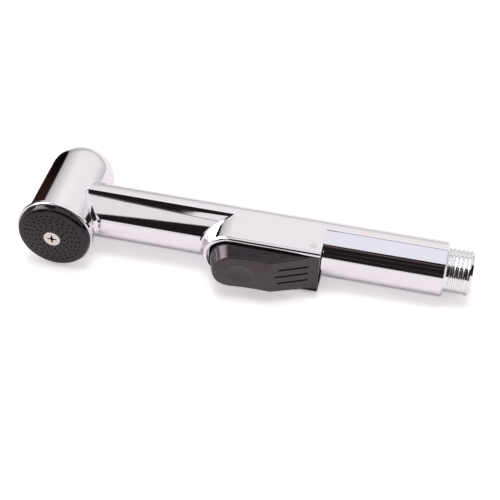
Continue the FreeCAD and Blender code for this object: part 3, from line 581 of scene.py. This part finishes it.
def make_plate():
    """The perforated plate: a crowned face with holes, a polished shoulder and a drafted wall."""
    surface = Surface()
    sink_edge = crown_height(SINK_RADIUS)
    shank = SHANK_RADIUS + SHANK_GAP
    slope = FACE_RADIUS / CROWN_BALL
    wall = [
        (CROWN_END, FACE_EDGE - slope * (FACE_RADIUS - CROWN_END), 0.0),
        (FACE_RADIUS, FACE_EDGE, PLATE_ROUND),
        (PLATE_RADIUS, PLATE_BACK, EDGE),
        (PLATE_RECESS, PLATE_BACK, EDGE),
        (PLATE_RECESS, PLATE_INSIDE, 0.0),
    ]
    sink = [
        (shank, PLATE_INSIDE, 0.0),
        (shank, sink_edge + SINK_DEPTH, EDGE),
        (SINK_RADIUS, sink_edge, 0.0),
    ]
    outer = turn_section(surface, *rounded(wall, closed=False, steps=10))
    inner = turn_section(surface, *rounded(sink, closed=False))
    front, back = [outer[0], inner[-1]], [outer[-1], inner[0]]
    for x, z in hole_places():
        mouth, end = make_hole(surface, x, z)
        front.append(mouth)
        back.append(end)
    fill(surface, front, crown_normal)
    fill(surface, back, lambda point: (0.0, 1.0, 0.0))
    surface.piece("plate", "black_plate", "handle", "spray_plate")


SCREW_LAND = 0.3
SCREW_ROUND = 0.12
ARM_LENGTH = 2.15
ARM_TIP = 0.26
ARM_ROOT = 0.5
ARM_STEPS = 10
RECESS_DEPTH = 1.4
RECESS_TAPER = 0.45
RECESS_LEAN = 0.35


def cross_outline():
    """Points of a tapered cross recess, in order of their angle."""
    corners = []
    for quarter in range(4):
        angle = quarter * math.pi / 2
        for along, side in ((ARM_LENGTH, -ARM_TIP), (ARM_LENGTH, ARM_TIP), (ARM_ROOT, ARM_ROOT)):
            turned = complex(along, side) * complex(math.cos(angle), math.sin(angle))
            corners.append((turned.real, turned.imag))
    outline = []
    for index, (x, z) in enumerate(corners):
        next_x, next_z = corners[(index + 1) % len(corners)]
        for share in np.linspace(0.0, 1.0, ARM_STEPS, endpoint=False):
            outline.append((x + (next_x - x) * share, z + (next_z - z) * share))
    return outline


def make_screw():
    """The countersunk screw with its cross recess."""
    outline = cross_outline()
    count = len(outline)
    turns = [math.atan2(z, x) for x, z in outline]
    surface = Surface()
    section = [
        (SCREW_HEAD - SCREW_LAND, SCREW_FRONT, 0.0),
        (SCREW_HEAD, SCREW_FRONT, SCREW_ROUND),
        (SHANK_RADIUS, SCREW_FRONT + SINK_DEPTH, EDGE),
        (SHANK_RADIUS, SCREW_BACK, 0.0),
    ]
    loops = turn_section(surface, *rounded(section, closed=False), turns=turns)
    front = [(0.0, -1.0, 0.0)] * count
    mouth = surface.loop((HEAD_X + x, SCREW_FRONT, z) for x, z in outline)
    surface.band(loops[0], mouth, front, front)
    depth = SCREW_FRONT + RECESS_DEPTH
    bottom = surface.loop((HEAD_X + RECESS_TAPER * x, depth, RECESS_TAPER * z) for x, z in outline)
    inward = []
    for index in range(count):
        way = (Vector(outline[(index + 1) % count]) - Vector(outline[index - 1])).normalized()
        inward.append(Vector((-way.y, -RECESS_LEAN, way.x)).normalized())
    surface.band(mouth, bottom, inward, inward)
    surface.flat(bottom, (0.0, -1.0, 0.0))
    surface.flat(loops[-1], (0.0, 1.0, 0.0))
    # the cross recess gets painted shade through this material
    steel = make_steel("screw_steel", STAINLESS, gloss=0.26, recess=RECESS)
    surface.piece("screw", "stainless", "handle", "plate_screw", steel)


# Threaded hose nipple
PITCH = 1.814
THREAD_DEPTH = 1.162
CREST_START, CREST_END = 0.34, 1.02
THREAD_START = (0.5, 0.9)
THREAD_RUNOUT = 0.4
HANDLE_WALL = 3.0
SPIGOT_GAP = 0.2
SPIGOT_RADIUS = HANDLE_RADIUS - HANDLE_WALL - SPIGOT_GAP
NIPPLE_BORE = 2.8
NIPPLE_MOUTH = 6.5
MOUTH_DEPTH = 10.0
MOUTH_CHAMFER = 0.4
END_RING = 1.9
END_RING_RADIUS = 9.85
END_RING_STEP = (0.15, 0.1)
END_BEVEL = 1.2
BEVEL_SLOPE = 0.75
RELIEF = 1.1
FLAT_TURN = math.radians(-20.0)
FLAT_EDGE = (math.radians(15.0), math.radians(18.0))
FLAT_RISE = 0.12
THREAD_SIDES = 192
THREAD_ROWS = 190
CREASE = math.radians(50)


def smooth_step(value, low, high):
    """Nought below low, one above high and a smooth rise between them."""
    share = np.clip((value - low) / (high - low), 0.0, 1.0)
    return share * share * (3 - 2 * share)


def thread_radius(along, turn):
    """Radius of the hose end at a distance from the shoulder and an angle round the axis."""
    root = THREAD_RADIUS - THREAD_DEPTH
    phase = (along / PITCH - turn / (2 * math.pi)) % 1.0
    rise = THREAD_DEPTH * smooth_step(np.abs(phase - 0.5) * 2, CREST_START, CREST_END)
    thread_end = NIPPLE_END - END_RING - RELIEF
    rise = rise * (1 - smooth_step(along, thread_end - THREAD_RUNOUT, thread_end))
    rise = rise * smooth_step(along, *THREAD_START)
    side = (turn - FLAT_TURN) % math.pi
    side = np.minimum(side, math.pi - side)
    radius = root + FLAT_RISE + (rise - FLAT_RISE) * smooth_step(side, *FLAT_EDGE)
    ring_start = NIPPLE_END - END_RING
    ring = smooth_step(along, ring_start - END_RING_STEP[0], ring_start + END_RING_STEP[1])
    radius = radius + (END_RING_RADIUS - radius) * ring
    bevel = END_RING_RADIUS - BEVEL_SLOPE * np.clip(along - (NIPPLE_END - END_BEVEL), 0, END_BEVEL)
    return np.minimum(radius, bevel)


def make_nipple():
    """The nipple with its thread, two flats and end ring, as one closed surface round the axis."""
    turns = circle(THREAD_SIDES)
    spigot = [(-NIPPLE_SPIGOT, NIPPLE_BORE), (-NIPPLE_SPIGOT, SPIGOT_RADIUS), (0.0, SPIGOT_RADIUS)]
    outside = [(along, thread_radius(along, turns)) for along in np.linspace(0.0, NIPPLE_END, THREAD_ROWS)]
    inside = [
        (NIPPLE_END, NIPPLE_MOUTH + MOUTH_CHAMFER),
        (NIPPLE_END - MOUTH_CHAMFER, NIPPLE_MOUTH),
        (NIPPLE_END - MOUTH_DEPTH, NIPPLE_MOUTH),
        (NIPPLE_END - MOUTH_DEPTH, NIPPLE_BORE),
    ]
    rings = spigot + outside + inside
    points, faces = [], []
    for ring, (along, radius) in enumerate(rings):
        for turn, out in zip(turns, np.broadcast_to(radius, turns.shape)):
            points.append((along, -out * math.cos(turn), out * math.sin(turn)))
        here = ring * THREAD_SIDES
        after = (ring + 1) % len(rings) * THREAD_SIDES
        for step in range(THREAD_SIDES):
            beside = (step + 1) % THREAD_SIDES
            faces.append((here + step, here + beside, after + beside, after + step))
    mesh = smooth_mesh("threaded_nipple", points, faces)
    mesh.set_sharp_from_angle(angle=CREASE)
    place_piece("threaded_nipple", mesh, "chrome_brass", "handle", "inlet_nipple")


# Front rim of the trigger housing; stations are distances from the head's axis
ROUND_STATION = 77.0
HOUSING_END = 115.6
CHEEK_TOP = 15.0
RIM_FRONT = 17.05
RIM_ROUND = 1.5
RIM_WIDTH = 1.98
RIM_INNER_ROUND = 0.35
RIM_END_ROUND = 0.8
RIM_BASE = 14.9
RIM_STEPS = 20
END_STEPS = 9
STRAIGHT_STEPS = 24
BEND_STEPS = 73
QUARTER = math.pi / 2


def rim_profile():
    """Rows of depth from the cheek, height and outward normal, from the cheek over to the well."""
    profile = [(0.0, CHEEK_TOP, 1.0, 0.0)]
    for turn in np.linspace(0.0, QUARTER, RIM_STEPS):
        out, front = math.cos(turn), math.sin(turn)
        profile.append((RIM_ROUND * (1 - out), RIM_FRONT - RIM_ROUND * (1 - front), out, front))
    for turn in np.linspace(0.0, QUARTER, RIM_STEPS // 2):
        back, front = math.sin(turn), math.cos(turn)
        depth = RIM_WIDTH - RIM_INNER_ROUND * (1 - back)
        profile.append((depth, RIM_FRONT - RIM_INNER_ROUND * (1 - front), -back, front))
    profile.append((RIM_WIDTH, RIM_BASE, -1.0, 0.0))
    profile.append((RIM_WIDTH / 2, RIM_BASE, 0.0, -1.0))
    return profile


def rim_path():
    """Rows of station, side, outward direction and distance from the flat end, round the housing."""
    ends = RIM_END_ROUND * (1 - np.cos(np.linspace(0.0, QUARTER, END_STEPS)))
    straight = np.linspace(RIM_END_ROUND, HOUSING_END - ROUND_STATION, STRAIGHT_STEPS)
    run = np.concatenate([ends, straight[1:-1]])
    path = [(HOUSING_END - away, HANDLE_RADIUS, 0.0, 1.0, away) for away in run]
    for turn in np.linspace(0.0, math.pi, BEND_STEPS):
        across, up = -math.sin(turn), math.cos(turn)
        station = ROUND_STATION + HANDLE_RADIUS * across
        path.append((station, HANDLE_RADIUS * up, across, up, HANDLE_RADIUS))
    path += [(HOUSING_END - away, -HANDLE_RADIUS, 0.0, -1.0, away) for away in run[::-1]]
    return path


def make_rim():
    """The rounded rim round the trigger opening: a closed sweep out of the housing's wall.

    Near the flat end, the rim's top falls off in a round of its own.
    """
    profile = rim_profile()
    count = len(profile)
    points, normals, faces = [], [], []
    path = rim_path()
    for station, side, across, up, away in path:
        short = max(RIM_END_ROUND - away, 0.0)
        lean = short / RIM_END_ROUND
        top = RIM_FRONT - (RIM_END_ROUND - math.sqrt(RIM_END_ROUND**2 - short**2))
        for depth, height, out, front in profile:
            points.append((HEAD_X + station - across * depth, -min(height, top), side - up * depth))
            if height > top:
                normals.append((lean, -math.sqrt(1 - lean * lean), 0.0))
            else:
                normals.append((across * out, -front, up * out))
    for low in range(0, (len(path) - 1) * count, count):
        high = low + count
        for index in range(count):
            after = (index + 1) % count
            faces.append((low + index, high + index, high + after, low + after))
    faces.append(tuple(range(count)))
    faces.append(tuple(reversed(range((len(path) - 1) * count, len(path) * count))))
    mesh = smooth_mesh("housing_rim", points, faces)
    mesh.validate()
    mesh.normals_split_custom_set_from_vertices(normals)
    place_piece("housing_rim", mesh, "chrome_plastic", "handle")


# Concave blend where the round end of the housing grows out of the handle
BLEND = 3.4
BLEND_SINK = 0.6
BLEND_NARROW = 0.96
BLEND_ENDS = (5.0, 175.0)
BLEND_ROWS = 69
BLEND_STEPS = 13
HIDDEN_BACK = (1.0, 0.2, 0.0)
HIDDEN_INSIDE = (0.2, 1.0, 0.0)


def blend_row(turn):
    """Points and normals of the blend at an angle round the handle, from its front to its foot."""
    deep, high = HANDLE_RADIUS * math.sin(turn), HANDLE_RADIUS * math.cos(turn)
    share = BLEND / HANDLE_RADIUS
    points, normals = [], []
    for angle in np.linspace(0.0, QUARTER, BLEND_STEPS):
        sine, cosine = math.sin(angle), math.cos(angle)
        back = 1 + share * (1 - sine)
        front = 1 + share * (1 - cosine)
        points.append((HEAD_X + ROUND_STATION - deep * back, -deep * front, high))
        lift = math.cos(turn) * (back * sine + front * cosine)
        lean = Vector((-math.sin(turn) * sine, -math.sin(turn) * cosine, lift))
        normals.append(tuple(lean.normalized()))
    inside = HEAD_X + ROUND_STATION - deep + BLEND_SINK
    points.append((inside, -deep + BLEND_SINK, high * BLEND_NARROW))
    return points, normals


def make_blend():
    """The blend: its arc is scaled with the depth at each height, so it dies out at top and bottom."""
    surface = Surface()
    rows, leans = [], []
    for turn in np.radians(np.linspace(*BLEND_ENDS, BLEND_ROWS)):
        points, normals = blend_row(turn)
        rows.append(surface.loop(points))
        leans.append(normals)
    for step in range(BLEND_ROWS - 1):
        low, high = rows[step], rows[step + 1]
        surface.band(low[:-1], high[:-1], leans[step], leans[step + 1], closed=False)
        surface.flat([low[-2], low[-1], high[-1], high[-2]], HIDDEN_BACK)
        surface.flat([low[-1], low[0], high[0], high[-1]], HIDDEN_INSIDE)
    surface.flat(rows[0], (0.0, 0.0, 1.0))
    surface.flat(rows[-1], (0.0, 0.0, -1.0))
    surface.piece("housing_blend", "chrome_plastic", "handle")


# Valve spring, kept at the length of its CAD node; the real one shortens as the stem goes in
WIRE_RADIUS = 0.3
COIL_TURNS = 4
COIL_STEPS = 36
WIRE_SIDES = 10


def make_spring():
    """The helix between the disc and the plug, at the place and length of the spring's CAD node."""
    low, high = (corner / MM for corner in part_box("valve_spring"))
    centre_x, centre_z = (low.x + high.x) / 2, (low.z + high.z) / 2
    coil = (high.x - low.x) / 2 - WIRE_RADIUS
    first, rise = low.y + WIRE_RADIUS, high.y - low.y - 2 * WIRE_RADIUS
    whole = COIL_TURNS * 2 * math.pi
    slope = rise / (whole * coil)
    surface = Surface()
    rows, leans = [], []
    for turn in np.linspace(0.0, whole, COIL_TURNS * COIL_STEPS + 1):
        out = Vector((math.cos(turn), 0.0, math.sin(turn)))
        along = Vector((-math.sin(turn), slope, math.cos(turn))).normalized()
        side = along.cross(out)
        middle = Vector((centre_x, first + rise * turn / whole, centre_z)) + out * coil
        wire = [out * math.cos(angle) + side * math.sin(angle) for angle in circle(WIRE_SIDES)]
        rows.append(surface.loop(middle + lean * WIRE_RADIUS for lean in wire))
        leans.append([tuple(lean) for lean in wire])
    for step in range(len(rows) - 1):
        surface.band(rows[step], rows[step + 1], leans[step], leans[step + 1])
    surface.flat(rows[0], (0.0, -slope, -1.0))
    surface.flat(rows[-1], (0.0, slope, 1.0))
    piece = surface.piece("spring", "spring_steel", "handle", "valve_spring")
    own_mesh(piece)


# White sheet that the sprayer lies on: its size in metres, and where it touches in millimetres
SHEET_LEFT, SHEET_RIGHT, SHEET_NEAR, SHEET_FAR = -0.210, 0.9, -1.0, 0.8
SHEET_GAP = 0.00005
RING_TOUCH = 0.7
DOME_TOUCH = 2.0
HANDLE_TOUCH = -1.0
PAPER = (0.90, 0.875, 0.89)
CAMERA_TONE = (1.0, 0.97, 0.99)
CAMERA_LIFT = 0.42
GLOSS_TONE = (0.93, 1.0, 0.94)
NEAR_LIFT = 0.06
FAR_LIFT = 0.62
NEAR, FAR = 0.2, 0.7


def sheet_place():
    """A point of the sheet and its upward normal: it touches the ring, the dome and the hose end."""
    ring = Vector((HEAD_X, PLATE_BACK + RING_TOUCH, -RING_RADIUS)) * MM
    dome = Vector((HEAD_X, BARREL_RADIUS + DOME_TOUCH, -BARREL_RADIUS)) * MM
    handle = Vector((HANDLE_TOUCH, 0.0, -HANDLE_RADIUS)) * MM
    normal = (dome - ring).cross(handle - ring).normalized()
    if normal.z < 0:
        normal.negate()
    return ring - normal * SHEET_GAP, normal


def make_sheet_material():
    """White paper, lifted to white for the camera, and for reflections the more the further off."""
    material = bpy.data.materials.new("white_sheet")
    material.use_nodes = True
    tree = Tree(material.node_tree)
    paper = tree.add("ShaderNodeBsdfDiffuse")
    paper.inputs["Color"].default_value = rgb(PAPER)
    lift = tree.add("ShaderNodeEmission")
    path = tree.add("ShaderNodeLightPath")
    camera, gloss = path.outputs["Is Camera Ray"], path.outputs["Is Glossy Ray"]
    tree.link(tree.mix(gloss, rgb(CAMERA_TONE), rgb(GLOSS_TONE)), lift.inputs["Color"])
    away = tree.add("ShaderNodeVectorMath", operation="LENGTH")
    tree.link(tree.place(), away.inputs[0])
    distant = tree.ramp(away.outputs["Value"], NEAR, FAR, NEAR_LIFT, FAR_LIFT)
    mirrored = tree.math("MULTIPLY", gloss, distant)
    seen = tree.math("MULTIPLY", camera, CAMERA_LIFT)
    tree.link(tree.math("ADD", seen, mirrored), lift.inputs["Strength"])
    both = tree.add("ShaderNodeAddShader")
    tree.link(paper.outputs[0], both.inputs[0])
    tree.link(lift.outputs[0], both.inputs[1])
    output = tree.add("ShaderNodeOutputMaterial")
    tree.link(both.outputs[0], output.inputs["Surface"])
    return material


def make_floor():
    """The white sheet, in the plane through the three places that the sprayer rests on."""
    point, normal = sheet_place()
    corners = []
    for x, y in (
        (SHEET_LEFT, SHEET_NEAR),
        (SHEET_RIGHT, SHEET_NEAR),
        (SHEET_RIGHT, SHEET_FAR),
        (SHEET_LEFT, SHEET_FAR),
    ):
        z = point.z - (normal.x * (x - point.x) + normal.y * (y - point.y)) / normal.z
        corners.append((x, y, z))
    mesh = bpy.data.meshes.new("floor")
    mesh.from_pydata(corners, [], [(0, 1, 2, 3)])
    floor = bpy.data.objects.new("floor", mesh)
    bpy.context.scene.collection.objects.link(floor)
    mesh.materials.append(make_sheet_material())


# Studio as the chrome sees it, by direction: an edge of a panel is the normal of a plane through the eye
ROOM = (0.012, 0.0105, 0.0125)
TIMBER = (0.20, 0.14, 0.13)
TIMBER_STREAKS = (1.0, 0.4, 9.0)
TIMBER_RANGE = (0.53, 0.74)
TIMBER_SIDE = (-0.16, -0.02)
LEFT_DARK = (0.0035, 0.003, 0.0045)
LEFT_BROWN = (0.027, 0.012, 0.009)
LEFT_FADE = (0.718, 0.692)
LEFT_SIDE = (-0.45, -0.62)

SIDE_EDGES = ((1, 0, 0.192), (-0.24, 1, 0.563), (0, -1, 0.70), (3.0, -1, 0.90), (-1, 0, 1.6))
SIDE_SOFT = 0.012
SIDE_BLUE = (0.88, 0.92, 0.97)
SIDE_BLUE_END = (0.07, 0.16)
SIDE_PLAIN = 0.90

MAIN_FAR_EDGE = (-3.13, -1, -0.675)
MAIN_FAR_SOFT = 0.05
MAIN_NEAR_EDGES = ((-3.15, 1, 0.075), (-0.24, 1, 0.563))
MAIN_NEAR_SOFT = 0.02
MAIN_OUTER_EDGES = ((0, -1, 0.5), (1, 0, 0.9))
MAIN_OUTER_SOFT = 0.06
MAIN_LEVEL = 0.85
SLOT_EDGES = ((3.13, 1, 0.695), (-3.13, -1, -0.655), (-1, 0, -0.155))
SLOT_SOFT = 0.006
SLOT = (0.05, 0.045, 0.05)

BACKDROP_TOP = (0, 1, -0.77)
BACKDROP_TOP_SOFT = 0.03
BACKDROP_LEFT = (0.747, 0.485, 0.456)
BACKDROP_EDGE = (-0.02, 0.05)
BACKDROP_RISE = (0.03, 0.50, 0.56, 1.0)
BACKDROP_LOW = (0.02, 0.5, 0.60, 0.93)
BACKDROP_HIGH = (0.66, 0.79, 0.0, 0.12)

LEFT_WALL_EDGES = ((-1, 0, -0.6), (-0.4, -1, 0), (-1, 0.9, 0))
LEFT_WALL_SOFT = 0.05
LEFT_WALL = (0.86, 0.86, 0.87)
LEFT_LAMP_EDGES = ((-1, 0, -0.5), (-0.9, -1, 0), (-0.5, 1, 0), (0.42, 0, 1))
LEFT_LAMP_SOFT = 0.08
LEFT_LAMP = (5.0, 4.9, 5.0)

LEFT_GAP_EDGES = ((-0.839, -0.545, 0.0), (-1, 0.4, 0))
LEFT_GAP_SOFT = 0.06
TABLE_EDGE = (0.075, 0.035)
TABLE_NEAR_HALF = (0.1, -0.1)
TABLE_HORIZON = (0.01, -0.01)
TABLE_LEVEL = 0.84

PLAIN_LEVEL = 0.50
WHITE_LEVEL = 1.0


def half_space(tree, direction, normal, soft):
    """One inside a great circle of directions, falling to nought over a soft edge."""
    return tree.ramp(tree.dot(direction, normal), -soft / 2, soft / 2)


def panel(tree, direction, edges, soft):
    """One inside every edge of a light panel."""
    inside = half_space(tree, direction, edges[0], soft)
    for normal in edges[1:]:
        inside = tree.math("MULTIPLY", inside, half_space(tree, direction, normal, soft))
    return inside


def add_room(tree, direction):
    """The dark room: streaks of timber on the near side, black to brown at the left."""
    across, forward, _ = tree.split(direction)
    streaks = tree.noise(scale=2.2, detail=3.0, stretch=TIMBER_STREAKS, vector=direction)
    near_side = tree.ramp(across, *TIMBER_SIDE)
    timber = tree.math("MULTIPLY", tree.ramp(streaks, *TIMBER_RANGE), near_side)
    room = tree.mix(timber, rgb(ROOM), rgb(TIMBER))
    left = tree.mix(tree.ramp(forward, *LEFT_FADE), rgb(LEFT_DARK), rgb(LEFT_BROWN))
    return tree.mix(tree.ramp(across, *LEFT_SIDE), room, left)


def add_panels(tree, direction, glow):
    """The side panel, bluish in its middle, and the main panel with the dark slot beside it."""
    across = tree.math("ABSOLUTE", tree.split(direction)[0])
    side_tone = tree.mix(tree.ramp(across, *SIDE_BLUE_END), rgb(SIDE_BLUE), grey(SIDE_PLAIN))
    glow = tree.mix(panel(tree, direction, SIDE_EDGES, SIDE_SOFT), glow, side_tone)
    near = [half_space(tree, direction, normal, MAIN_NEAR_SOFT) for normal in MAIN_NEAR_EDGES]
    far = half_space(tree, direction, MAIN_FAR_EDGE, MAIN_FAR_SOFT)
    main = tree.math("MULTIPLY", tree.math("MAXIMUM", *near), far)
    main = tree.math("MULTIPLY", main, panel(tree, direction, MAIN_OUTER_EDGES, MAIN_OUTER_SOFT))
    glow = tree.mix(main, glow, grey(MAIN_LEVEL))
    return tree.mix(panel(tree, direction, SLOT_EDGES, SLOT_SOFT), glow, rgb(SLOT))


def add_backdrop(tree, direction, glow):
    """The backdrop behind the sprayer: lighter upward and away from its left edge."""
    height = tree.split(direction)[2]
    beyond = tree.dot(direction, BACKDROP_LEFT)
    top = half_space(tree, direction, BACKDROP_TOP, BACKDROP_TOP_SOFT)
    inside = tree.math("MULTIPLY", top, tree.ramp(beyond, *BACKDROP_EDGE))
    low = tree.ramp(height, *BACKDROP_LOW)
    high = tree.ramp(height, *BACKDROP_HIGH)
    rise = tree.ramp(beyond, *BACKDROP_RISE, smooth=False)
    level = tree.math("MULTIPLY", tree.math("ADD", low, high), rise)
    return tree.mix(inside, glow, level)


def add_table(tree, direction, glow):
    """The pale table beyond the sheet, below the horizon, with a gap at the left."""
    _, forward, height = tree.split(direction)
    near_half = tree.ramp(forward, *TABLE_NEAR_HALF)
    low = tree.math("MULTIPLY", tree.ramp(height, *TABLE_EDGE), near_half)
    below = tree.math("MAXIMUM", low, tree.ramp(height, *TABLE_HORIZON))
    gap = panel(tree, direction, LEFT_GAP_EDGES, LEFT_GAP_SOFT)
    table = tree.math("MULTIPLY", below, tree.math("SUBTRACT", 1.0, gap))
    return tree.mix(table, glow, grey(TABLE_LEVEL))


def make_world():
    """White for the camera, the studio for what mirrors it, and a plain level for all other light."""
    world = bpy.data.worlds.new("studio")
    bpy.context.scene.world = world
    world.use_nodes = True
    tree = Tree(world.node_tree)
    direction = tree.add("ShaderNodeTexCoord").outputs["Generated"]
    glow = add_panels(tree, direction, add_room(tree, direction))
    glow = add_backdrop(tree, direction, glow)
    glow = tree.mix(panel(tree, direction, LEFT_WALL_EDGES, LEFT_WALL_SOFT), glow, rgb(LEFT_WALL))
    glow = tree.mix(panel(tree, direction, LEFT_LAMP_EDGES, LEFT_LAMP_SOFT), glow, rgb(LEFT_LAMP))
    glow = add_table(tree, direction, glow)
    path = tree.add("ShaderNodeLightPath")
    seen = tree.mix(path.outputs["Is Glossy Ray"], grey(PLAIN_LEVEL), glow)
    seen = tree.mix(path.outputs["Is Camera Ray"], seen, grey(WHITE_LEVEL))
    light = tree.add("ShaderNodeBackground")
    tree.link(seen, light.inputs["Color"])
    output = tree.add("ShaderNodeOutputWorld")
    tree.link(light.outputs[0], output.inputs["Surface"])


LAMP_PLACE = (-0.12, 0.03, 0.78)
LAMP_AIM = (-0.09, 0.0, 0.0)
LAMP_WIDTH = 0.42
LAMP_POWER = 3.6


def make_lamp():
    """The softbox overhead. The studio's panels stand for it in reflections."""
    data = bpy.data.lights.new("softbox", "AREA")
    data.shape = "SQUARE"
    data.size = LAMP_WIDTH
    data.energy = LAMP_POWER
    lamp = bpy.data.objects.new("softbox", data)
    bpy.context.scene.collection.objects.link(lamp)
    lamp.location = LAMP_PLACE
    lamp.rotation_mode = "QUATERNION"
    lamp.rotation_quaternion = (Vector(LAMP_AIM) - Vector(LAMP_PLACE)).to_track_quat("-Z", "Y")
    lamp.visible_glossy = False


make_camera()
make_floor()
make_world()
make_lamp()
bpy.context.scene.view_settings.view_transform = "Standard"
dress_nodes()
make_nipple()
make_rim()
make_blend()
make_ring()
make_plate()
make_screw()
make_spring()
